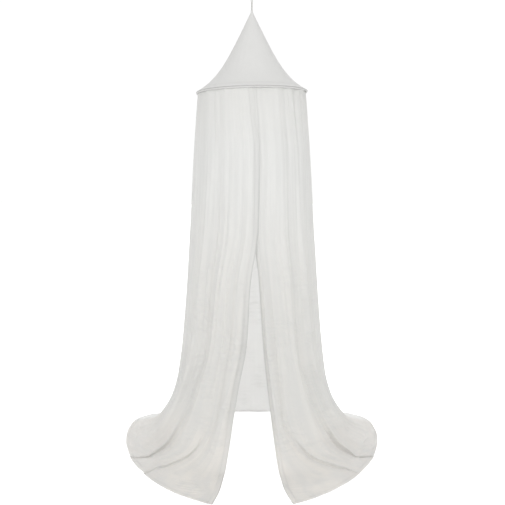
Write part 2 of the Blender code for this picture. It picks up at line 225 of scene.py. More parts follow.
def tilted(x: np.ndarray | float, z: np.ndarray | float) -> np.ndarray:
    """The height of a point once the hoop's slight tilt is taken in."""
    share = np.interp(z, (FLOOR_Z, HOOP_Z, TIP_Z), (0.0, 1.0, 0.0))
    return z + HOOP_TILT * x * share


def unevenness(x: float, y: float, seed: float) -> float:
    """A repeatable uneven value, about -0.5 to 0.5, one hump to a unit."""
    return noise.noise(Vector((x, y, seed)))


def joined(right: np.ndarray, left: np.ndarray) -> np.ndarray:
    """Both halves of a row, from the right edge round to the left one."""
    return np.concatenate([right, left[-2::-1]])


def lengths_along(points: np.ndarray, axis: int = 0) -> np.ndarray:
    """How far along its line each point is.

    Args:
        points: the places, with their coordinates on the last axis.
        axis: the axis that the lines follow.

    Returns:
        A length for each point, which starts from 0.
    """
    steps = np.linalg.norm(np.diff(points, axis=axis), axis=-1)
    return np.insert(np.cumsum(steps, axis=axis), 0, 0.0, axis=axis)


# Shader building

Socket = bpy.types.NodeSocket
Colour = tuple[float, float, float]
Scale = tuple[float, float, float]
FALLING = (1.0, 0.0)  # the last two fields of a fade that goes from full to nothing


class Fade(NamedTuple):
    """How a strength changes while a value goes from start to end."""

    start: float
    end: float
    before: float = 0.0
    after: float = 1.0


class Reading(Enum):
    """What a limit is measured on, as the names of the fields in Places."""

    SIDE = "side"
    OFF_MIDDLE = "off_middle"
    DEPTH = "depth"
    HEIGHT = "height"
    DOWN = "down"
    FROM_SLIT = "from_slit"


class Limit(NamedTuple):
    """A fade together with what it is measured on."""

    reading: Reading
    start: float
    end: float
    before: float = 0.0
    after: float = 1.0


class Tone(NamedTuple):
    """A colour that the cloth takes where all its limits let it."""

    colour: Colour
    limits: tuple[Limit, ...]


class Places(NamedTuple):
    """Where a point of cloth is: in the piece, in metres, and on the piece's maps."""

    place: Socket
    side: Socket
    off_middle: Socket
    depth: Socket
    height: Socket
    cloth: Socket
    across: Socket
    down: Socket
    run: Socket
    from_slit: Socket
    from_hem: Socket


class Links:
    """A short way to add and join nodes in one tree."""

    def __init__(self, tree: bpy.types.NodeTree) -> None:
        """Keeps the tree that the nodes go into."""
        self.tree = tree

    def add(self, kind: str, **settings: object) -> bpy.types.Node:
        """Adds a node.

        Args:
            kind: the node's type.
            settings: its properties.

        Returns:
            The node.
        """
        node = self.tree.nodes.new(kind)
        for name, value in settings.items():
            setattr(node, name, value)
        return node

    def feed(self, socket: Socket, value: object) -> None:
        """Joins an output to the socket, or sets the socket's own value.

        Args:
            socket: an input.
            value: an output or a plain value.
        """
        if isinstance(value, Socket):
            self.tree.links.new(value, socket)
        else:
            socket.default_value = value

    def feed_by_name(self, node: bpy.types.Node, values: dict[str, object]) -> None:
        """Feeds several of a node's inputs."""
        for name, value in values.items():
            self.feed(node.inputs[name], value)

    def result(self, kind: str, values: Sequence[object], **settings: object) -> Socket:
        """The first output of a new node.

        Args:
            kind: the node's type.
            values: what its first inputs get.
            settings: its properties.

        Returns:
            The output.
        """
        node = self.add(kind, **settings)
        for socket, value in zip(node.inputs, values):
            self.feed(socket, value)
        return node.outputs[0]

    def maths(self, operation: str, *values: object) -> Socket:
        """The result of a maths node."""
        return self.result("ShaderNodeMath", values, operation=operation)

    def vector(self, operation: str, *values: object) -> Socket:
        """The result of a vector maths node."""
        return self.result("ShaderNodeVectorMath", values, operation=operation)

    def product(self, first: object, *others: object) -> object:
        """All the values multiplied.

        Args:
            first: an output or a number.
            others: more of them.

        Returns:
            Their product.
        """
        for value in others:
            first = self.maths("MULTIPLY", first, value)
        return first

    def split(self, vector: object) -> tuple[Socket, ...]:
        """The three parts of a vector.

        Args:
            vector: an output.

        Returns:
            An output for each part.
        """
        node = self.add("ShaderNodeSeparateXYZ")
        self.feed(node.inputs[0], vector)
        return tuple(node.outputs)

    def place(self) -> Socket:
        """Where a point is in its piece, in metres."""
        return self.add("ShaderNodeTexCoord").outputs["Object"]

    def uv_map(self, name: str) -> Socket:
        """One of the piece's maps."""
        return self.add("ShaderNodeUVMap", uv_map=name).outputs[0]

    def places(self) -> Places:
        """Reads where a point of cloth is.

        Returns:
            Its places in the piece and on the maps "cloth", "run" and "edges".
        """
        place, cloth = self.place(), self.uv_map("cloth")
        side, depth, height = self.split(place)
        across, down, _ = self.split(cloth)
        from_slit, from_hem, _ = self.split(self.uv_map("edges"))
        return Places(
            place, side, self.maths("ABSOLUTE", side), depth, height,
            cloth, across, down, self.uv_map("run"), from_slit, from_hem,
        )

    def blotches(
        self, vector: object, scale: float | Scale, detail: float = 2.0, output: str = "Fac",
    ) -> Socket:
        """Soft noise.

        Args:
            vector: the place it is read at.
            scale: blotches to a metre, one number or one for each direction.
            detail: how many finer layers it has.
            output: "Fac" for one value, about 0.3 to 0.7, or "Color" for three.

        Returns:
            The noise.
        """
        node = self.add("ShaderNodeTexNoise")
        if not isinstance(scale, float):
            vector, scale = self.vector("MULTIPLY", vector, scale), 1.0
        self.feed_by_name(node, {"Vector": vector, "Scale": scale, "Detail": detail})
        return node.outputs[output]

    def fade(self, value: object, fade: Fade) -> Socket:
        """A strength that changes with a value, held at both ends."""
        smooth = {"clamp": True, "interpolation_type": "SMOOTHSTEP"}
        return self.result("ShaderNodeMapRange", (value, *fade), **smooth)

    def within(self, at: Places, limits: Sequence[Limit]) -> object:
        """How strong a mark is, as the product of its limits' fades.

        Args:
            at: where a point of cloth is.
            limits: where the mark comes in and goes out.

        Returns:
            Its strength.
        """
        return self.product(*(
            self.fade(getattr(at, limit.reading.value), Fade(*limit[1:])) for limit in limits
        ))

    def mixed(self, share: object, first: object, second: object) -> Socket:
        """One colour mixed into another.

        Args:
            share: how much of the second there is.
            first: an output or a colour.
            second: an output or a colour.

        Returns:
            The mixed colour.
        """
        node = self.add("ShaderNodeMix", data_type="RGBA")
        self.feed(node.inputs["Factor"], share)
        for socket, colour in zip(node.inputs[6:8], (first, second)):
            self.feed(socket, (*colour, 1.0) if isinstance(colour, tuple) else colour)
        return node.outputs[2]

    def bumped(self, height: object, distance: float, normal: Optional[object] = None) -> Socket:
        """A raised normal.

        Args:
            height: 0 to 1.
            distance: what a height of 1 is, in metres.
            normal: the normal so far.

        Returns:
            The normal.
        """
        node = self.add("ShaderNodeBump")
        self.feed_by_name(node, {"Strength": 1.0, "Distance": distance, "Height": height})
        if normal is not None:
            self.feed(node.inputs["Normal"], normal)
        return node.outputs[0]


def new_group(
    name: str, inputs: Sequence[tuple[str, str, object]], outputs: Sequence[str],
) -> tuple[bpy.types.NodeTree, bpy.types.Node, bpy.types.Node]:
    """An empty shader node group with named inputs and outputs.

    Args:
        name: the group's name.
        inputs: each input's name, socket type and default.
        outputs: each output's name. All are plain numbers.

    Returns:
        The group, its input node and its output node.
    """
    group = bpy.data.node_groups.new(name, "ShaderNodeTree")
    for label, kind, default in inputs:
        socket = group.interface.new_socket(name=label, in_out="INPUT", socket_type=kind)
        if default is not None:
            socket.default_value = default
    for label in outputs:
        group.interface.new_socket(name=label, in_out="OUTPUT", socket_type="NodeSocketFloat")
    return group, group.nodes.new("NodeGroupInput"), group.nodes.new("NodeGroupOutput")


def new_material(name: str) -> tuple[bpy.types.Material, Links, bpy.types.Node]:
    """An empty material.

    Args:
        name: the material's name.

    Returns:
        The material, the way to add to its tree, and its Principled shader.
    """
    material = bpy.data.materials.new(name)
    material.use_nodes = True
    tree = material.node_tree
    return material, Links(tree), tree.nodes["Principled BSDF"]


@dataclass(frozen=True)
class PlainWeave:
    """Plain weave whose threads wander and swell, as a shared node group."""

    sway_scale: float = 160.0
    sway_centre: tuple[float, float, float] = (0.5, 0.5, 0.5)
    slub_scales: tuple[Scale, ...] = ((420.0, 9.0, 1.0), (9.0, 420.0, 1.0))
    slub_height: float = 0.5
    full_height: float = 0.66
    tint: Fade = Fade(0.7, 1.3)

    def build(self) -> bpy.types.NodeTree:
        """Builds the group.

        Returns:
            The group, which reads a vector in metres and puts out a height and a tint.
        """
        group, given, made = new_group("Plain weave", (
            ("Cloth", "NodeSocketVector", None), ("Threads per metre", "NodeSocketFloat", 900.0),
            ("Wander", "NodeSocketFloat", 0.0006),
        ), ("Height", "Tint"))
        links = Links(group)
        cloth, count, wander = given.outputs[:3]
        sway = links.vector(
            "SUBTRACT", links.blotches(cloth, self.sway_scale, 1.0, output="Color"), self.sway_centre,
        )
        placed = links.vector("MULTIPLY_ADD", sway, wander, cloth)
        turns = links.product(count, math.pi)
        warp, weft = (links.maths("SINE", links.product(way, turns)) for way in links.split(placed)[:2])
        height = links.maths("MULTIPLY_ADD", links.product(warp, weft), 0.5, 0.5)
        slubs = links.maths("ADD", *(links.blotches(placed, scale, detail=1.0) for scale in self.slub_scales))
        raised = links.maths("MULTIPLY_ADD", slubs, self.slub_height, height)
        links.feed(made.inputs["Height"], links.product(raised, self.full_height))
        links.feed(made.inputs["Tint"], links.fade(slubs, self.tint))
        return group


@dataclass(frozen=True)
class StitchRow:
    """A row of straight stitches, as a shared node group."""

    stitch: Fade = Fade(0.33, 0.42, *FALLING)
    thread: Fade = Fade(0.35, 0.75, *FALLING)
    pucker: Fade = Fade(0.5, 4.0, *FALLING)

    def build(self) -> bpy.types.NodeTree:
        """Builds the group.

        Returns:
            The group, which reads how far along and how far from its line a point is.
        """
        group, given, made = new_group("Stitch row", tuple(
            (label, "NodeSocketFloat", default) for label, default in (
                ("Along", 0.0), ("From line", 0.0), ("Stitch length", 0.003), ("Thread width", 0.0006),
            )
        ), ("Thread", "Pucker"))
        links = Links(group)
        along, off, length, width = given.outputs[:4]
        share = links.maths("FRACT", links.maths("DIVIDE", along, length))
        middle = links.maths("ABSOLUTE", links.maths("SUBTRACT", share, 0.5))
        near = links.maths("DIVIDE", links.maths("ABSOLUTE", off), width)
        thread = links.product(links.fade(middle, self.stitch), links.fade(near, self.thread))
        links.feed_by_name(made, {"Thread": thread, "Pucker": links.fade(near, self.pucker)})
        return group


# Painted shade: the last few millimetres of both slit edges are darker from 0.2 m below the hoop down, less
# so near the floor, for the shade of the rolled edge.
ROLLED_EDGE_SHADE = (
    Limit(Reading.FROM_SLIT, 0.003, 0.0075, *FALLING),
    Limit(Reading.HEIGHT, HOOP_Z - 0.45, HOOP_Z - 0.20, 0.62, 0.0),
    Limit(Reading.HEIGHT, FLOOR_Z + 0.05, FLOOR_Z + 0.40, 0.25, 1.0),
)
# Painted shade: a strip up to 24 to 32 mm wide along the left slit edge is darker, 0.1 to 0.75 m above the
# floor, for the shade of the doubled hem.
FOLDED_EDGE_SHADE = (
    Limit(Reading.FROM_SLIT, 0.024, 0.032, *FALLING),
    Limit(Reading.SIDE, -0.02, 0.02, 0.30, 0.0),
    Limit(Reading.HEIGHT, FLOOR_Z + 0.50, FLOOR_Z + 0.75, *FALLING),
    Limit(Reading.HEIGHT, FLOOR_Z + 0.10, FLOOR_Z + 0.24),
)
# Painted highlight: a lighter strip 8 to 22 mm in from the slit's edges, on the ridge of the edge hem, about
# 0.15 to 0.6 m below the hoop.
EDGE_RIDGE_HIGHLIGHT = (
    Limit(Reading.FROM_SLIT, 0.008, 0.013),
    Limit(Reading.FROM_SLIT, 0.016, 0.022, *FALLING),
    Limit(Reading.HEIGHT, HOOP_Z - 0.62, HOOP_Z - 0.50),
    Limit(Reading.HEIGHT, HOOP_Z - 0.15, HOOP_Z - 0.08, 0.35, 0.0),
)


@dataclass(frozen=True)
class ClothFinish:
    """An ivory cotton: its colours, painted light and shade, threads, crinkle, sheerness and hems."""

    name: str
    colour: Colour
    shade: Colour
    tones: tuple[Tone, ...]
    threads_per_metre: float
    weave_depth: float
    crinkle_depth: float
    crinkle_scale: Scale
    sheerness: float
    cross_crinkle: float = 3.0
    cross_crinkle_high_up: float = 0.3
    cross_crinkle_ends: tuple[float, float] = (HOOP_Z - 0.95, HOOP_Z - 0.65)
    cross_scale: Scale = (16.0, 62.0, 1.0)
    cross_patch_scale: float = 7.0
    cross_patches: Fade = Fade(0.42, 0.6, 0.2, 1.0)
    # Painted shade in the creases across the cloth: how dark they are made.
    crease_shade: Fade = Fade(0.42, 0.62, 0.0, 0.12)
    patch_scale: float = 3.0
    patches: Fade = Fade(0.35, 0.65, 0.0, 0.35)
    thread_shade: float = 0.25
    # How much darker the painted shade makes the colour. The streaks run down the cloth for the shade of its
    # fine folds and are strongest in front and high up.
    painted_shade_strength: float = 0.08
    streak_scale: Scale = (75.0, 1.8, 1.0)
    streak_shade: Fade = Fade(0.38, 0.62, *FALLING)
    streak_limits: tuple[Limit, ...] = (
        Limit(Reading.DEPTH, 0.0, 0.15, 0.45, 0.12),
        Limit(Reading.HEIGHT, HOOP_Z - 0.35, HOOP_Z - 0.05, 1.0, 0.4),
    )
    roughness: float = 0.92
    specular: float = 0.25
    sheen: float = 0.12
    sheen_roughness: float = 0.5
    hem_width: float = 0.0
    edge_hem_width: float = 0.0
    # Colour factor of the painted shade along the slit edges and in the stitch puckers.
    hem_shade_factor: float = 0.80
    doubled_ends: tuple[float, float] = (0.001, 0.003)
    doubled_height: float = 0.45
    pucker_height: float = -0.55
    # How much of that painted shade falls in the puckers beside the stitches.
    pucker_shade_factor: float = 0.22
    thread_height: float = 0.5
    thread_cover: float = 0.6
    # Lightens the stitch threads, which are paler, and the painted highlight on the edge hem's ridge.
    thread_and_highlight_gain: float = 1.03
    hem_depth: float = 0.0012

    def build(self, weave: bpy.types.NodeTree, stitches: bpy.types.NodeTree) -> bpy.types.Material:
        """Builds the material.

        Args:
            weave: the plain weave group.
            stitches: the stitch row group.

        Returns:
            The material, which reads the piece's maps "cloth", "run" and "edges".
        """
        material, links, shader = new_material(self.name)
        at = links.places()
        woven = links.add("ShaderNodeGroup", node_tree=weave)
        links.feed_by_name(woven, {"Cloth": at.cloth, "Threads per metre": self.threads_per_metre})
        colour = self.toned(links, at, woven.outputs["Tint"])
        colour, crinkle = self.crinkled(links, at, colour)
        normal = links.bumped(crinkle, self.crinkle_depth)
        normal = links.bumped(woven.outputs["Height"], self.weave_depth, normal)
        if self.hem_width:
            colour, normal = self.sewn(links, at, stitches, colour, normal)
        links.feed_by_name(shader, {
            "Base Color": colour, "Normal": normal, "Roughness": self.roughness,
            "Specular IOR Level": self.specular, "Sheen Weight": self.sheen,
            "Sheen Roughness": self.sheen_roughness,
        })
        if self.sheerness:
            through = links.add("ShaderNodeBsdfTranslucent")
            links.feed_by_name(through, {"Color": colour, "Normal": normal})
            layers = (self.sheerness, shader.outputs[0], through.outputs[0])
            out = material.node_tree.nodes["Material Output"]
            links.feed(out.inputs["Surface"], links.result("ShaderNodeMixShader", layers))
        return material

    def toned(self, links: Links, at: Places, tint: object) -> Socket:
        """The cloth's colour before it is crinkled and sewn, with its tones, which paint light and shade onto
        it.

        Args:
            links: the material's tree.
            at: where a point of cloth is.
            tint: the weave's tint.

        Returns:
            The colour.
        """
        patches = links.fade(links.blotches(at.place, self.patch_scale, detail=3.0), self.patches)
        colour = links.mixed(patches, self.colour, self.shade)
        colour = links.mixed(links.product(tint, self.thread_shade), colour, self.shade)
        for tone in self.tones:
            colour = links.mixed(links.within(at, tone.limits), colour, tone.colour)
        return colour

    def crinkled(self, links: Links, at: Places, colour: object) -> tuple[Socket, Socket]:
        """Paints shade into the colour in streaks down the cloth, for its fine folds, and in the creases
        across it.

        Args:
            links: the material's tree.
            at: where a point of cloth is.
            colour: the colour so far.

        Returns:
            The colour with the painted shade in it, and the crinkle's height.
        """
        # Painted shade: darker streaks down the cloth for the shade of its fine folds, and darker creases
        # across it.
        painted_shade_colour = tuple(part * (1 - self.painted_shade_strength) for part in self.colour)
        streak_shade = links.fade(links.blotches(at.run, self.streak_scale), self.streak_shade)
        streak_shade = links.product(streak_shade, links.within(at, self.streak_limits))
        colour = links.mixed(streak_shade, colour, painted_shade_colour)
        cross = links.blotches(at.cloth, self.cross_scale)
        patches = links.blotches(at.place, self.cross_patch_scale, detail=1.0)
        lower = Fade(*self.cross_crinkle_ends, self.cross_crinkle, self.cross_crinkle_high_up)
        patches = links.product(links.fade(patches, self.cross_patches), links.fade(at.height, lower))
        colour = links.mixed(links.product(links.fade(cross, self.crease_shade), patches), colour, painted_shade_colour)
        along = links.blotches(at.run, self.crinkle_scale, detail=3.0)
        return colour, links.maths("MULTIPLY_ADD", cross, patches, along)

    def sewn(
        self, links: Links, at: Places, stitches: bpy.types.NodeTree, colour: object, normal: object,
    ) -> tuple[Socket, Socket]:
        """Adds the hems, which are two layers of cloth out to a row of stitches, with painted shade along the
        slit's edges and beside the stitches, and a painted highlight on the ridge of the edge hem.

        Args:
            links: the material's tree.
            at: where a point of cloth is.
            stitches: the stitch row group.
            colour: the colour so far.
            normal: the normal so far.

        Returns:
            The colour and the normal with the hems, their painted shade and their painted highlight in them.
        """
        rows, doubled = [], []
        for distance, along, width in (
            (at.from_hem, at.across, self.hem_width), (at.from_slit, at.down, self.edge_hem_width),
        ):
            row = links.add("ShaderNodeGroup", node_tree=stitches)
            off = links.maths("SUBTRACT", distance, width)
            links.feed_by_name(row, {"Along": along, "From line": off})
            rows.append(row)
            doubled.append(links.fade(off, Fade(*self.doubled_ends, *FALLING)))
        thread, pucker = (
            links.maths("MAXIMUM", *(row.outputs[name] for row in rows)) for name in ("Thread", "Pucker")
        )
        raised = links.product(links.maths("MAXIMUM", *doubled), self.doubled_height)
        raised = links.maths("MULTIPLY_ADD", pucker, self.pucker_height, raised)
        raised = links.maths("MULTIPLY_ADD", thread, self.thread_height, raised)
        # A paler colour for the stitch threads, also used for the painted highlight on the edge hem's ridge.
        light = tuple(min(1.0, part * self.thread_and_highlight_gain) for part in self.colour)
        # The colour of the painted shade along the slit edges and in the stitch puckers.
        hem_shade_colour = tuple(part * self.hem_shade_factor for part in self.colour)
        # Painted highlight on the ridge of the edge hem.
        colour = links.mixed(links.within(at, EDGE_RIDGE_HIGHLIGHT), colour, light)
        # Painted shade: the rolled and folded slit edges and the puckers beside the stitches are darkened.
        edge_shade_mask = links.maths("MAXIMUM", *(links.within(at, edge) for edge in (ROLLED_EDGE_SHADE, FOLDED_EDGE_SHADE)))
        painted_hem_shade = links.maths("MAXIMUM", edge_shade_mask, links.product(pucker, self.pucker_shade_factor))
        colour = links.mixed(painted_hem_shade, colour, hem_shade_colour)
        colour = links.mixed(links.product(thread, self.thread_cover), colour, light)
        return colour, links.bumped(raised, self.hem_depth, normal)


@dataclass(frozen=True)
class CordFinish:
    """A cotton cord of twisted strands, with painted shade in the grooves between them."""

    name: str
    colour: Colour
    # Painted shade in the grooves between the strands.
    groove_shade: Colour
    strands: float = 3.0
    twists_per_metre: float = 95.0
    strand_roundness: float = 0.6
    strand_depth: float = 0.0006
    fibre_scale: float = 1400.0
    fibre_height: float = 0.25
    roughness: float = 0.9
    sheen: float = 0.1

    def build(self) -> bpy.types.Material:
        """Builds the material.

        Returns:
            The material, whose twist runs along the piece's map "cord".
        """
        material, links, shader = new_material(self.name)
        along, around, _ = links.split(links.uv_map("cord"))
        wound = links.maths("MULTIPLY_ADD", along, self.twists_per_metre, around)
        turn = links.maths("FRACT", links.product(wound, self.strands))
        strand = links.maths("SINE", links.product(turn, math.pi))
        rounded = links.maths("POWER", strand, self.strand_roundness)
        fibres = links.blotches(links.place(), self.fibre_scale)
        height = links.maths("MULTIPLY_ADD", fibres, self.fibre_height, rounded)
        links.feed_by_name(shader, {
            # Painted shade: the colour is darker in the grooves between the strands.
            "Base Color": links.mixed(strand, self.groove_shade, self.colour),
            "Normal": links.bumped(height, self.strand_depth),
            "Roughness": self.roughness, "Sheen Weight": self.sheen,
        })
        return material


@dataclass(frozen=True)
class RodFinish:
    """White plastic, faintly scuffed."""

    name: str
    colour: Colour
    scuff_scale: Scale = (60.0, 60.0, 400.0)
    scuff_shade: float = 0.93
    scuff_depth: float = 0.0001
    roughness: Fade = Fade(0.3, 0.7, 0.38, 0.55)

    def build(self) -> bpy.types.Material:
        """Builds the material.

        Returns:
            The material.
        """
        material, links, shader = new_material(self.name)
        scuffs = links.blotches(links.place(), self.scuff_scale, detail=4.0)
        dull = tuple(part * self.scuff_shade for part in self.colour)
        links.feed_by_name(shader, {
            "Base Color": links.mixed(scuffs, self.colour, dull),
            "Roughness": links.fade(scuffs, self.roughness),
            "Normal": links.bumped(scuffs, self.scuff_depth),
        })
        return material


# Shared mesh work

SHARP_ANGLE = math.radians(60.0)


def finished(name: str, work: bmesh.types.BMesh, material: bpy.types.Material) -> bpy.types.Object:
    """Turns a bmesh into a smooth object that rides on the part.

    Args:
        name: the piece's name.
        work: the mesh, which is freed.
        material: its finish.

    Returns:
        The object, at the origin.
    """
    mesh = bpy.data.meshes.new(name)
    work.to_mesh(mesh)
    work.free()
    mesh.shade_smooth()
    mesh.set_sharp_from_angle(angle=SHARP_ANGLE)
    mesh.materials.append(material)
    made = bpy.data.objects.new(name, mesh)
    bpy.context.scene.collection.objects.link(made)
    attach(made, "root")
    return made


def mapped(work: bmesh.types.BMesh, **maps: dict[int, tuple[float, float]]) -> None:
    """Writes maps, each with one place for each vertex index.

    Args:
        work: the mesh.
        maps: each map's places, under its name.
    """
    for name, places in maps.items():
        layer = work.loops.layers.uv.new(name)
        for face in work.faces:
            for loop in face.loops:
                loop[layer].uv = places[loop.vert.index]


def tilt(work: bmesh.types.BMesh) -> None:
    """Tilts a mesh with the hoop."""
    for vert in work.verts:
        vert.co.z = float(tilted(vert.co.x, vert.co.z))


def turned_profile(
    profile: Sequence[tuple[float, float]], steps: int, angle: float = 2 * math.pi, start: float = 0.0,
) -> bmesh.types.BMesh:
    """An open line of (radius, height) points turned round the Z axis.

    Args:
        profile: the line's points, with heights measured from the hoop.
        steps: how many steps the turn has.
        angle: how far it turns, in radians.
        start: the direction it starts from, in radians from +X.

    Returns:
        The mesh, with its vertices numbered ring by ring.
    """
    work = bmesh.new()
    points = [work.verts.new((radius, 0.0, HOOP_Z + z)) for radius, z in profile]
    edges = [work.edges.new(pair) for pair in zip(points, points[1:])]
    bmesh.ops.rotate(work, verts=points, cent=(0, 0, 0), matrix=Matrix.Rotation(start, 3, "Z"))
    whole = angle >= 2 * math.pi
    bmesh.ops.spin(
        work, geom=points + edges, cent=(0, 0, 0), axis=(0, 0, 1), angle=angle, steps=steps,
        use_merge=whole,
    )
    bmesh.ops.recalc_face_normals(work, faces=work.faces)
    work.verts.index_update()
    return work


def walled(piece: bpy.types.Object, thickness: float) -> bpy.types.Modifier:
    """Gives a sheet its thickness, half of it to each side.

    Args:
        piece: the sheet.
        thickness: the wall, in metres.

    Returns:
        The modifier.
    """
    wall = piece.modifiers.new("Cloth thickness", "SOLIDIFY")
    wall.thickness = thickness
    wall.offset = 0.0
    return wall


# Pieces

@dataclass
class HangingCord:
    """The doubled cord that hangs the canopy from its hook."""

    diameter: float = 0.0032
    strand_gap: float = 0.0003
    rounds: int = 150
    sides: int = 10

    def route(self) -> list[Vector]:
        """The cord's centreline, out of the tip, round the hook and back.

        Returns:
            Its points.
        """
        strand = self.diameter / 2 + self.strand_gap / 2
        up = [
            (-strand, -0.1050), (-strand, -0.0970), (-strand, -0.0890), (-strand, -0.0760),
            (-0.0019, -0.0620), (-0.0025, -0.0500), (-0.0037, -0.0390), (-0.0054, -0.0280),
            (-0.0071, -0.0170), (-0.0078, -0.0085), (-0.0062, -0.0018),
        ]
        whole = up + [(0.0, self.diameter / 2)] + [(-x, z) for x, z in reversed(up)]
        stops = np.linspace(0, 1, len(whole))
        at = np.linspace(0, 1, self.rounds)
        xs, zs = (smooth_curve(at, stops, values) for values in zip(*whole))
        return [Vector((float(x), 0.0, float(z))) for x, z in zip(xs, zs)]

    def swept(self, route: Sequence[Vector], along: Sequence[float]) -> bmesh.types.BMesh:
        """Sweeps a round along the route.

        Args:
            route: the centreline.
            along: how far along the cord each of its points is.

        Returns:
            The mesh, with a map "cord" that holds metres along and turns round.
        """
        work = bmesh.new()
        rings = []
        for i, point in enumerate(route):
            ahead = route[min(i + 1, len(route) - 1)] - route[max(i - 1, 0)]
            placed = Matrix.Translation(point) @ ahead.to_track_quat("Z", "Y").to_matrix().to_4x4()
            rings.append(bmesh.ops.create_circle(
                work, segments=self.sides, radius=self.diameter / 2, matrix=placed,
            )["verts"])
        for lower, upper in zip(rings, rings[1:]):
            for k in range(self.sides):
                after = (k + 1) % self.sides
                work.faces.new((lower[k], lower[after], upper[after], upper[k]))
        for ring in (rings[0][::-1], rings[-1]):
            work.faces.new(ring)
        layer = work.loops.layers.uv.new("cord")
        place = {
            vert: (along[i], k / self.sides) for i, ring in enumerate(rings) for k, vert in enumerate(ring)
        }
        last_side = (self.sides - 1.5) / self.sides
        for face in work.faces:
            wraps = max(place[loop.vert][1] for loop in face.loops) > last_side
            for loop in face.loops:
                far, turn = place[loop.vert]
                loop[layer].uv = (far, turn + (1.0 if wraps and turn == 0 else 0.0))
        bmesh.ops.recalc_face_normals(work, faces=work.faces)
        return work

    def build(self, finish: bpy.types.Material) -> bpy.types.Object:
        """Args:
            finish: its material.

        Returns:
            The piece.
        """
        route = self.route()
        along = [0.0]
        for before, point in zip(route, route[1:]):
            along.append(along[-1] + (point - before).length)
        piece = finished("cord_loop", self.swept(route, along), finish)
        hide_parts("hanging_cord")
        return piece


@dataclass
class PointedTop:
    """The stretched cone of cotton between the cord and the hoop."""

    thickness: float = 0.0010
    foot_radius: float = 0.250
    foot_above_hoop: float = 0.0047
    slope_length: float = 0.46
    straight_share: float = 0.71
    flare_share: float = 0.29
    flare_fade: float = 0.20
    neck_radius: float = 0.0042
    levels: int = 60
    level_spacing: float = 1.25
    steps: int = 180
    seam_half_width: float = 0.0045
    seam_slope: float = 0.002
    seam_height: float = 0.0009
    pull_folds: int = 17
    pull_wander: float = 3.0
    pull_height: float = 0.0010
    pull_reach: float = 1.2

    def radius(self, share: float) -> float:
        """The cone's radius at a share of its height."""
        flare = self.straight_share + self.flare_share * math.exp(-share / self.flare_fade)
        return max(self.foot_radius * (1 - share) * flare, self.neck_radius)

    def lift(self, angle: float, arc: float, share: float) -> float:
        """How far the seam and the fine pull lines stand out.

        Args:
            angle: the direction from the front, in radians.
            arc: how far that is from the seam, in metres.
            share: how far up the cone.

        Returns:
            A height in metres.
        """
        seam = float(ease(1 - (arc - self.seam_half_width) / self.seam_slope)) * self.seam_height
        wander = self.pull_wander * unevenness(angle * 2, 0, 5)
        pull = math.cos(angle * self.pull_folds + wander) * unevenness(angle * 4, share * 2, 2)
        grown = math.sin(math.pi * min(share * self.pull_reach, 1)) ** 0.5
        return seam * (1 - share) + self.pull_height * pull * grown

    def build(self, finish: bpy.types.Material) -> bpy.types.Object:
        """Args:
            finish: its material.

        Returns:
            The piece.
        """
        span = TIP_ABOVE_HOOP - self.foot_above_hoop
        shares = np.linspace(0, 1, self.levels) ** self.level_spacing
        profile = [(self.radius(s), self.foot_above_hoop + span * s) for s in shares]
        work = turned_profile(profile, self.steps, start=-math.pi / 2)
        cloth, edges, run = {}, {}, {}
        for vert in work.verts:
            across = math.hypot(vert.co.x, vert.co.y)
            angle = math.atan2(vert.co.x, -vert.co.y)
            share = min(max((vert.co.z - HOOP_Z - self.foot_above_hoop) / span, 0.0), 1.0)
            out = Vector((vert.co.x, vert.co.y, 0)).normalized()
            vert.co += out * self.lift(angle, abs(angle) * across, share)
            down = (1 - share) * self.slope_length
            cloth[vert.index] = (angle * across, down)
            run[vert.index] = (angle * self.foot_radius, down)
            edges[vert.index] = (1.0, share * self.slope_length)
        tilt(work)
        mapped(work, cloth=cloth, edges=edges, run=run)
        piece = finished("top_cloth", work, finish)
        walled(piece, self.thickness)
        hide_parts("pointed_top")
        return piece


@dataclass
class HoopRod:
    """The round plastic rod inside the casing."""

    rod_radius: float = 0.0034
    sides: int = 20
    steps: int = 220

    def build(self, finish: bpy.types.Material) -> bpy.types.Object:
        """Turns the rod.

        Args:
            finish: its material.

        Returns:
            The piece.
        """
        angles = np.linspace(0, 2 * math.pi, self.sides + 1)
        profile = [
            (HOOP_RADIUS + self.rod_radius * math.cos(a), self.rod_radius * math.sin(a)) for a in angles
        ]
        work = turned_profile(profile, self.steps)
        bmesh.ops.remove_doubles(work, verts=work.verts, dist=1e-6)
        bmesh.ops.recalc_face_normals(work, faces=work.faces)
        tilt(work)
        piece = finished("hoop_rod", work, finish)
        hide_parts("hoop")
        return piece


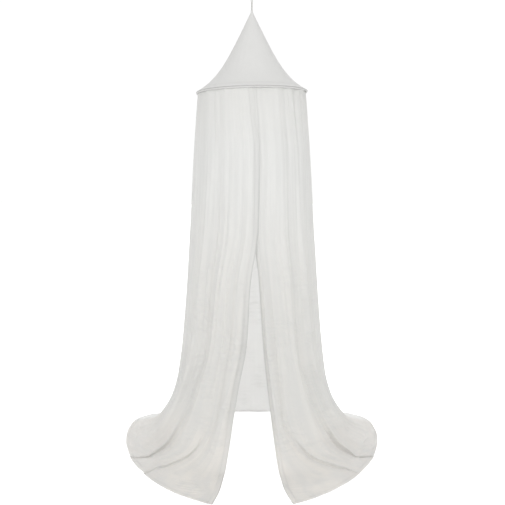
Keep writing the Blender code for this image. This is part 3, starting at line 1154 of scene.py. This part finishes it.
@dataclass
class HoopCasing:
    """The strip of cotton sewn round the hoop, with its two ends meeting at the front."""

    inner_radius: float = 0.0038
    thickness: float = 0.0008
    slit_at: float = math.radians(225)
    slit_half: float = math.radians(20)
    wrap_margin: float = 0.1  # keeps the strip's first line of points from counting as its last
    arc_points: int = 18
    steps: int = 560
    gap: float = 0.003
    gap_at: float = 0.010
    pucker: float = 0.00025
    pucker_middle: float = 0.4
    wide_gather: float = 0.006
    narrow_gather: float = 0.0025
    narrow_share: float = 0.6

    def gathers(self, far: float, around: float) -> float:
        """How far the gathered strip stands out.

        Args:
            far: metres along the strip.
            around: the angle round the rod, in radians.

        Returns:
            A height in metres.
        """
        wide = unevenness(far / self.wide_gather, around * 0.8, 4)
        narrow = unevenness(far / self.narrow_gather, around * 1.5, 8)
        return self.pucker * (self.pucker_middle + (wide + self.narrow_share * narrow))

    def build(self, finish: bpy.types.Material) -> bpy.types.Object:
        """Args:
            finish: its material.

        Returns:
            The piece.
        """
        first = self.slit_at + self.slit_half
        last = self.slit_at - self.slit_half + 2 * math.pi
        middle = self.inner_radius + self.thickness / 2
        angles = np.linspace(first, last, self.arc_points)
        profile = [(HOOP_RADIUS + middle * math.cos(a), middle * math.sin(a)) for a in angles]
        start = -math.pi / 2 + (self.gap_at + self.gap / 2) / HOOP_RADIUS
        turn = 2 * math.pi - self.gap / HOOP_RADIUS
        work = turned_profile(profile, self.steps, turn, start)
        cloth, edges = {}, {}
        for vert in work.verts:
            out = Vector((vert.co.x, vert.co.y, 0)).normalized()
            away = (vert.co - out * HOOP_RADIUS - Vector((0, 0, HOOP_Z))).normalized()
            around = (math.atan2(away.z, away.dot(out)) - first + self.wrap_margin) % (2 * math.pi)
            far = (math.atan2(vert.co.y, vert.co.x) - start) % (2 * math.pi) * HOOP_RADIUS
            vert.co += away * self.gathers(far, around)
            cloth[vert.index] = (far, around * middle)
            edges[vert.index] = (min(far, turn * HOOP_RADIUS - far), 1.0)
        tilt(work)
        mapped(work, cloth=cloth, edges=edges, run=cloth)
        piece = finished("casing_cloth", work, finish)
        walled(piece, self.thickness)
        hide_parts("hoop_casing")
        return piece


class Ripple(NamedTuple):
    """Small uneven folds of one size."""

    width: float  # round the skirt
    per_metre: float  # down the skirt
    height: float
    seed: float


@dataclass
class Skirt:
    """The gauze skirt: one sheet from the hoop to the floor, open down the front.

    Its drops and levels are measured from the hoop, and a pair of ends is a start and an end.
    """

    thickness: float = 0.0010
    hem_thickness: float = 0.0019
    hem_width: float = 0.016
    edge_hem_width: float = 0.012
    half_width: float = 0.85
    # The mesh's rows and columns. A run of rows is its first, its last and their number.
    top_drop: float = 0.0030
    rows_under_hoop: tuple[float, ...] = (0.0055, 0.009, 0.015)
    hanging_rows: tuple[float, float, int] = (0.025, 1.24, 42)
    flaring_rows: tuple[float, float, int] = (1.26, 1.60, 29)
    floor_rows: tuple[float, float, int] = (0.02, 0.94, 25)
    hem_rows: tuple[float, ...] = (0.97, 0.99, 1.0)
    front_share: float = 0.5
    front_columns: int = 330
    back_columns: int = 130
    fewest_columns: int = 6
    outline_samples: int = 900
    # The right edge is tucked in behind the left one.
    underlap_depths: tuple[float, float] = (0.0018, 0.010)
    underlap_depth_ends: tuple[float, float] = (0.16, 0.38)
    underlap_width_ends: tuple[float, float] = (0.05, 0.15)
    underlap_drop_ends: tuple[float, float] = (0.62, 1.00)
    # Both edges curl inwards.
    edge_curl: float = 0.007
    edge_curl_width: float = 0.0075
    edge_curl_ends: tuple[float, float] = (0.15, 0.50)
    # The right half's folds sit a little nearer its edge.
    right_shift: float = 0.040
    right_shift_full: float = 0.05
    right_shift_end: float = 0.27
    overhang_ends: tuple[float, float] = (1.47, 1.57)
    pleat_start: float = 0.03
    wide_fold: Ripple = Ripple(0.020, 0.9, 0.0034, 0.0)
    narrow_fold: Ripple = Ripple(0.009, 1.7, 0.0022, 20.0)
    fine_fold_levels: tuple[float, ...] = (0.01, 0.06, 0.35, 0.80, 1.30)
    fine_fold_strengths: tuple[float, ...] = (0.0, 0.28, 0.55, 1.55, 1.6)
    pressed_on_floor: float = 0.65
    pressed_reach: float = 0.3
    floor_ripple: Ripple = Ripple(0.045, 3.2, 0.0060, 40.0)
    floor_ripple_reach: float = 0.15
    calm_back: float = 0.6
    calm_back_ends: tuple[float, float] = (0.6, 0.8)
    smoothed_reach: float = 0.12
    smoothing_turns: int = 3
    bend_above: float = 0.022
    bend_beyond: float = 0.050
    bend_lift: float = 0.010

    def levels(self) -> np.ndarray:
        """The levels of the mesh's rows, closest where the cloth lands and at its edges.

        Returns:
            The levels, from the hoop to the hem.
        """
        hanging = (np.linspace(*rows) for rows in (self.hanging_rows, self.flaring_rows))
        floor = CONTACT_DROP + np.array([0.0, *np.linspace(*self.floor_rows), *self.hem_rows])
        return np.concatenate([[self.top_drop, *self.rows_under_hoop], *hanging, floor])

    def fold_shares(self, columns: np.ndarray) -> np.ndarray:
        """How far round the hanging cloth each column is, as a share of its half."""
        return np.interp(columns, range(len(FOLDS)), [fold.places[0] for fold in FOLDS])

    def columns(self) -> np.ndarray:
        """The columns of half the skirt as places in the fold table: 1.5 is midway from row 1 to 2.

        Returns:
            The places, closest in front.
        """
        places = [fold.places[0] for fold in FOLDS]
        found = []
        for i, width in enumerate(np.diff(places)):
            share = self.front_columns if places[i] < self.front_share else self.back_columns
            count = max(self.fewest_columns, round(width * share))
            found.extend(i + np.arange(count) / count)
        return np.array([*found, len(FOLDS) - 1.0])

    def section(self, level: float) -> Section:
        """The outline's sizes at any level.

        Args:
            level: the level.

        Returns:
            The sizes.
        """
        stops = [section.level for section in SECTIONS]
        read = (
            float(smooth_curve(level, stops, [section[k] for section in SECTIONS]))
            for k in range(1, len(Section._fields))
        )
        return Section(level, *read)

    def outline(self, section: Section, edge: float, places: np.ndarray) -> np.ndarray:
        """Points of the +X half of an outline.

        Args:
            section: the outline's sizes.
            edge: where the slit's edge is.
            places: shares of the outline's length from the slit's edge to the back.

        Returns:
            An x and a y for each place.
        """
        share = min(abs(edge) / section.side, 1.0) ** (section.front_power / 2)
        first = math.copysign(math.asin(share), edge)
        angle = np.linspace(first, math.pi, self.outline_samples)
        ahead = np.cos(angle) > 0
        power = 2 / np.where(ahead, section.front_power, section.back_power)
        x = section.side * np.sign(np.sin(angle)) * np.abs(np.sin(angle)) ** power
        reach = np.where(ahead, section.front, section.back)
        y = section.centre - reach * np.sign(np.cos(angle)) * np.abs(np.cos(angle)) ** power
        x[-1] = 0.0
        along = lengths_along(np.stack([x, y], axis=1))
        at = places * along[-1]
        return np.stack([np.interp(at, along, x), np.interp(at, along, y)], axis=1)

    def places(self, columns: np.ndarray, level: float, half: Half) -> np.ndarray:
        """How far round each column is at a level.

        Args:
            columns: the columns' places in the fold table.
            level: the level.
            half: which half of the skirt it is.

        Returns:
            A share of the outline for each, 0 at the slit's edge and 1 at the middle of the back.
        """
        known = [smooth_curve(level, PLACE_LEVELS, fold.places) for fold in FOLDS]
        places = np.interp(columns, range(len(FOLDS)), known)
        if half is Half.RIGHT:
            near = np.clip(places / self.right_shift_full, 0, 1)
            places = places - self.right_shift * near * np.clip(1 - places / self.right_shift_end, 0, 1)
        return places

    def between_folds(self, columns: np.ndarray, values: Sequence[float]) -> np.ndarray:
        """Values given for each fold, eased from one fold to the next.

        Args:
            columns: the columns' places in the fold table.
            values: one for each fold.

        Returns:
            A value for each column.
        """
        low = np.clip(columns.astype(int), 0, len(FOLDS) - 2)
        known = np.asarray(values)
        return known[low] + ease(columns - low) * (known[low + 1] - known[low])

    def relief(self, columns: np.ndarray, places: np.ndarray, level: float, half: Half) -> np.ndarray:
        """How far each column stands out from the plain outline.

        Args:
            columns: the columns' places in the fold table.
            places: how far round they are at this level.
            level: the level.
            half: which half of the skirt it is.

        Returns:
            A height for each column, in metres.
        """
        right = half is Half.RIGHT
        height = self.between_folds(columns, [
            smooth_curve(level, RELIEF_LEVELS, [
                fold.right_at_hoop if right else fold.heights[0], *fold.heights[1:],
            ]) for fold in FOLDS
        ])
        for pleat in PLEATS:
            if pleat.right_half is right and level < pleat.ends_at:
                fade = float(ease(1 - level / pleat.ends_at)) * float(ease(level, 0, self.pleat_start))
                near = np.exp(-(((places - pleat.place) / pleat.width) ** 2))
                height = height + pleat.height * fade * near
        return height + self.fine_folds(columns, level, half)

    def fine_folds(self, columns: np.ndarray, level: float, half: Half) -> np.ndarray:
        """The small uneven folds of crinkled gauze, which run down the cloth.

        Args:
            columns: the columns' places in the fold table.
            level: the level.
            half: which half of the skirt it is.

        Returns:
            A height for each column, in metres.
        """
        share = self.fold_shares(columns)
        wide, narrow, ripple = (
            kind.height * np.array([
                unevenness(s * self.half_width / kind.width, level * kind.per_metre, half.value + kind.seed)
                for s in share
            ]) for kind in (self.wide_fold, self.narrow_fold, self.floor_ripple)
        )
        lying = level - CONTACT_DROP
        grown = float(np.interp(level, self.fine_fold_levels, self.fine_fold_strengths))
        flat = 1 - self.pressed_on_floor * float(ease(lying, 0, self.pressed_reach))
        calm = 1 - self.calm_back * ease(share, *self.calm_back_ends)
        rippled = float(ease(lying, 0, self.floor_ripple_reach)) * ripple
        return grown * flat * calm * (wide + narrow) + rippled

    def drop(self, level: float) -> float:
        """How far below the hoop a level is, with a soft bend where the cloth meets the floor.

        Args:
            level: the level.

        Returns:
            A drop in metres.
        """
        if level < CONTACT_DROP:
            return level - self.bend_lift * math.exp((level - CONTACT_DROP) / self.bend_above)
        return CONTACT_DROP - self.bend_lift * math.exp((CONTACT_DROP - level) / self.bend_beyond)

    def underlap(self, places: np.ndarray, level: float) -> np.ndarray:
        """How far the right edge is tucked in behind the left one, near the hoop.

        Args:
            places: how far round the columns are at this level.
            level: the level.

        Returns:
            A depth for each column, in metres.
        """
        near_edge = 1 - ease(places, *self.underlap_width_ends)
        high_up = 1 - ease(level, *self.underlap_drop_ends)
        return np.interp(level, self.underlap_depth_ends, self.underlap_depths) * near_edge * high_up

    def surface(self) -> np.ndarray:
        """The middle surface.

        Returns:
            Points in rows from hoop to hem and columns from the +X slit edge round to the -X one.
        """
        columns, levels = self.columns(), self.levels()
        base, relief, lean = [], [], []
        for level in levels:
            section = self.section(level)
            right_places, left_places = (self.places(columns, level, half) for half in Half)
            right = self.outline(section, section.right_edge, right_places)
            left = self.outline(section, section.left_edge, left_places) * (-1, 1)
            plan = joined(right, left)
            base.append(np.column_stack([plan, np.full(len(plan), HOOP_Z - self.drop(level))]))
            curl = np.exp(-((lengths_along(right) / self.edge_curl_width) ** 2))
            curl *= self.edge_curl * float(ease(level, *self.edge_curl_ends))
            on_right = self.relief(columns, right_places, level, Half.RIGHT)
            on_right = on_right - self.underlap(right_places, level)
            on_left = self.relief(columns, left_places, level, Half.LEFT)
            relief.append(joined(on_right - curl, on_left - curl))
            overhang = self.between_folds(columns, [fold.overhang for fold in FOLDS])
            overhang *= ease(level, *self.overhang_ends)
            lean.append(joined(-overhang, overhang))
        base = np.array(base)
        down, across = np.gradient(base, axis=0), np.gradient(base, axis=1)
        normal = np.cross(down, across)
        normal /= np.linalg.norm(normal, axis=2, keepdims=True)
        across /= np.linalg.norm(across, axis=2, keepdims=True)
        surface = base + normal * np.array(relief)[:, :, None] + across * np.array(lean)[:, :, None]
        near = np.abs(levels - CONTACT_DROP) < self.smoothed_reach
        for _ in range(self.smoothing_turns):
            softer = surface.copy()
            softer[1:-1] = surface[:-2] * 0.25 + surface[1:-1] * 0.5 + surface[2:] * 0.25
            surface[near] = softer[near]
        surface[:, :, 2] = np.maximum(surface[:, :, 2], FLOOR_Z + self.hem_thickness / 2)
        surface[0, :, 2] = HOOP_Z - self.top_drop
        surface[:, :, 2] = tilted(surface[:, :, 0], surface[:, :, 2])
        return surface

    def build(self, finish: bpy.types.Material) -> bpy.types.Object:
        """Args:
            finish: its material.

        Returns:
            The piece.
        """
        surface = self.surface()
        rows, columns = surface.shape[:2]
        across, down = lengths_along(surface, axis=1), lengths_along(surface, axis=0)
        from_back = across - across[:, [columns // 2]]
        from_slit = np.minimum(across, across[:, [-1]] - across)
        from_hem = down[-1] - down
        share, levels = self.fold_shares(self.columns()), self.levels()
        round_half = joined(1 - share, share - 1) * self.half_width
        work = bmesh.new()
        bmesh.ops.create_grid(work, x_segments=columns - 1, y_segments=rows - 1, size=1.0)
        work.verts.index_update()
        cloth, edges, run, doubled = {}, {}, {}, []
        for vert in work.verts:
            row = round((vert.co.y + 1) / 2 * (rows - 1))
            column = round((vert.co.x + 1) / 2 * (columns - 1))
            vert.co = surface[row, column]
            cloth[vert.index] = (from_back[row, column], down[row, column])
            run[vert.index] = (round_half[column], levels[row])
            edges[vert.index] = (from_slit[row, column], from_hem[row, column])
            if from_hem[row, column] < self.hem_width or from_slit[row, column] < self.edge_hem_width:
                doubled.append(vert.index)
        bmesh.ops.recalc_face_normals(work, faces=work.faces)
        mapped(work, cloth=cloth, edges=edges, run=run)
        area = sum(face.calc_area() for face in work.faces)
        piece = finished("skirt_cloth", work, finish)
        piece.vertex_groups.new(name="hems").add(doubled, 1.0, "REPLACE")
        wall = walled(piece, self.hem_thickness)
        wall.vertex_group = "hems"
        wall.thickness_vertex_group = self.thickness / self.hem_thickness
        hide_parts("skirt")
        return piece


class Softbox(NamedTuple):
    """A soft rectangular light: its place, the point it faces, its width and height, and its watts."""

    name: str
    place: tuple[float, float, float]
    towards: tuple[float, float, float]
    size: tuple[float, float]
    watts: float


@dataclass
class Studio:
    """A plain white room: floor, soft lights and the camera at the photo's place."""

    camera_ahead: float = 3.5
    camera_below_hoop: float = 0.380
    camera_side: float = 0.003
    pitch_degrees: float = 5.81
    focal_pixels: float = 752.0
    image_pixels: int = 505
    sensor_width: float = 36.0
    surround: float = 0.87
    surround_seen: float = 1.02
    floor_glow: float = 0.17
    floor_glow_seen: float = 0.75
    floor_colour: Colour = (0.9, 0.9, 0.9)
    floor_reach: float = 30.0
    floor_gap: float = 0.0006
    lights: tuple[Softbox, ...] = (
        Softbox("front softbox", (0.0, -2.6, 0.35), (0.0, 0.0, -0.95), (3.0, 0.8), 26.0),
        Softbox("back softbox", (0.0, 2.6, 0.35), (0.0, 0.0, -1.0), (2.0, 2.0), 45.0),
    )

    def build(self) -> None:
        """Makes the camera, the floor, the world and the lights."""
        self.place_camera()
        self.lay_floor()
        self.light_world()
        for softbox in self.lights:
            self.hang(softbox)

    def place_camera(self) -> None:
        """Puts the camera where the photo's was."""
        data = bpy.data.cameras.new("photo camera")
        data.sensor_width = self.sensor_width
        data.lens = self.sensor_width * self.focal_pixels / self.image_pixels
        camera = bpy.data.objects.new("photo camera", data)
        bpy.context.scene.collection.objects.link(camera)
        camera.location = (self.camera_side, -self.camera_ahead, HOOP_Z - self.camera_below_hoop)
        camera.rotation_euler = (math.radians(90 - self.pitch_degrees), 0.0, 0.0)
        bpy.context.scene.camera = camera

    def seen_glow(self, links: Links, unseen: float, seen: float) -> Socket:
        """A strength that is one value to the camera and another to the cloth.

        Args:
            links: the tree.
            unseen: what lights the cloth.
            seen: what the camera sees.

        Returns:
            The strength.
        """
        watched = links.add("ShaderNodeLightPath").outputs["Is Camera Ray"]
        return links.fade(watched, Fade(0.0, 1.0, unseen, seen))

    def lay_floor(self) -> None:
        """A wide pale floor that glows like a lit sweep."""
        work = bmesh.new()
        bmesh.ops.create_grid(work, x_segments=1, y_segments=1, size=self.floor_reach)
        bmesh.ops.translate(work, verts=work.verts, vec=(0, 0, FLOOR_Z - self.floor_gap))
        mesh = bpy.data.meshes.new("studio_floor")
        work.to_mesh(mesh)
        work.free()
        material, links, shader = new_material("Studio sweep")
        links.feed_by_name(shader, {
            "Base Color": (*self.floor_colour, 1.0), "Roughness": 1.0,
            "Emission Color": (1.0, 1.0, 1.0, 1.0),
            "Emission Strength": self.seen_glow(links, self.floor_glow, self.floor_glow_seen),
        })
        mesh.materials.append(material)
        floor = bpy.data.objects.new("studio_floor", mesh)
        bpy.context.scene.collection.objects.link(floor)

    def light_world(self) -> None:
        """An even white surround."""
        world = bpy.data.worlds.new("studio")
        world.use_nodes = True
        links = Links(world.node_tree)
        glow = self.seen_glow(links, self.surround, self.surround_seen)
        sky = world.node_tree.nodes["Background"]
        links.feed_by_name(sky, {"Color": (1.0, 1.0, 1.0, 1.0), "Strength": glow})
        bpy.context.scene.world = world
        bpy.context.scene.view_settings.view_transform = "Standard"

    def hang(self, softbox: Softbox) -> None:
        """Hangs a soft rectangular light.

        Args:
            softbox: the light.
        """
        data = bpy.data.lights.new(softbox.name, "AREA")
        data.shape = "RECTANGLE"
        data.size, data.size_y = softbox.size
        data.energy = softbox.watts
        light = bpy.data.objects.new(softbox.name, data)
        light.location = softbox.place
        facing = Vector(softbox.towards) - Vector(softbox.place)
        light.rotation_euler = facing.to_track_quat("-Z", "Y").to_euler()
        bpy.context.scene.collection.objects.link(light)


IN_FRONT = Limit(Reading.DEPTH, -0.3, 0.1, *FALLING)
AT_THE_BACK = Limit(Reading.DEPTH, 0.15, 0.25)
# Painted light and shade on the gauze.
GAUZE_PAINTED_LIGHT = (
    # Painted shade: the front is a little darker in its top 0.35 m.
    Tone((0.905, 0.904, 0.892), (
        Limit(Reading.HEIGHT, HOOP_Z - 0.35, HOOP_Z - 0.03),
        Limit(Reading.DEPTH, -0.1, 0.1, *FALLING),
    )),
    # Painted shade: the lower front is darker, from about 1.4 m above the floor down.
    Tone((0.889, 0.883, 0.865), (
        Limit(Reading.HEIGHT, FLOOR_Z + 0.55, FLOOR_Z + 1.40, *FALLING), IN_FRONT,
    )),
    # Painted light: the front cloth lying on the floor is lighter and warmer.
    Tone((0.935, 0.920, 0.895), (
        Limit(Reading.HEIGHT, FLOOR_Z + 0.05, FLOOR_Z + 0.24, *FALLING), IN_FRONT,
    )),
    # Painted shade: the cloth lying on the floor at the sides is darker.
    Tone((0.889, 0.876, 0.857), (
        Limit(Reading.HEIGHT, FLOOR_Z + 0.06, FLOOR_Z + 0.16, *FALLING),
        Limit(Reading.OFF_MIDDLE, 0.30, 0.42),
    )),
    # Painted light: the back of the skirt is lighter, for the light that comes through it from behind.
    Tone((0.962, 0.962, 0.957), (AT_THE_BACK,)),
    # Painted light on the back, with less of it in the lowest 0.6 m.
    Tone((0.938, 0.936, 0.930), (
        Limit(Reading.HEIGHT, FLOOR_Z + 0.10, FLOOR_Z + 0.62, *FALLING), AT_THE_BACK,
    )),
)
GAUZE = ClothFinish(
    "Washed cotton gauze", (0.917, 0.918, 0.910), (0.896, 0.897, 0.888), GAUZE_PAINTED_LIGHT,
    threads_per_metre=950.0, weave_depth=0.00025, crinkle_depth=0.0018, crinkle_scale=(75.0, 4.0, 1.0),
    sheerness=0.55, hem_width=0.016, edge_hem_width=0.022,
)
TOP_COTTON = ClothFinish(
    "Taut cotton", (0.727, 0.725, 0.712), (0.709, 0.707, 0.695), (),
    threads_per_metre=1400.0, weave_depth=0.00015, crinkle_depth=0.0004, crinkle_scale=(30.0, 6.0, 1.0),
    sheerness=0.15, cross_crinkle=0.2, painted_shade_strength=0.01, hem_width=0.020, edge_hem_width=0.010,
)
# Painted shade: the casing is much darker than the rest of the cotton, for the shade along the hoop. Its
# lower outer half is lighter.
CASING_COTTON_IN_PAINTED_SHADE = ClothFinish(
    "Casing cotton", (0.47, 0.468, 0.458), (0.44, 0.438, 0.428),
    (Tone((0.68, 0.678, 0.666), (Limit(Reading.DOWN, 0.0070, 0.0090, *FALLING),)),),
    threads_per_metre=1400.0, weave_depth=0.00015, crinkle_depth=0.0006, crinkle_scale=(200.0, 40.0, 1.0),
    sheerness=0.0,
)
CORD_COTTON = CordFinish("Twisted cotton cord", (0.62, 0.615, 0.595), (0.34, 0.335, 0.32))
ROD_PLASTIC = RodFinish("White rod", (0.62, 0.62, 0.61))


def main() -> None:
    """Builds the studio and each piece in turn."""
    logging.basicConfig(level=logging.INFO, format="%(name)s: %(message)s")
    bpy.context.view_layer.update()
    Studio().build()
    weave, stitches = PlainWeave().build(), StitchRow().build()
    pieces = (
        HangingCord().build(CORD_COTTON.build()),
        PointedTop().build(TOP_COTTON.build(weave, stitches)),
        HoopRod().build(ROD_PLASTIC.build()),
        HoopCasing().build(CASING_COTTON_IN_PAINTED_SHADE.build(weave, stitches)),
        Skirt().build(GAUZE.build(weave, stitches)),
    )
    for piece in pieces:
        log.info("%s has %d faces", piece.name, len(piece.data.polygons))


if __name__ == "__main__":
    main()
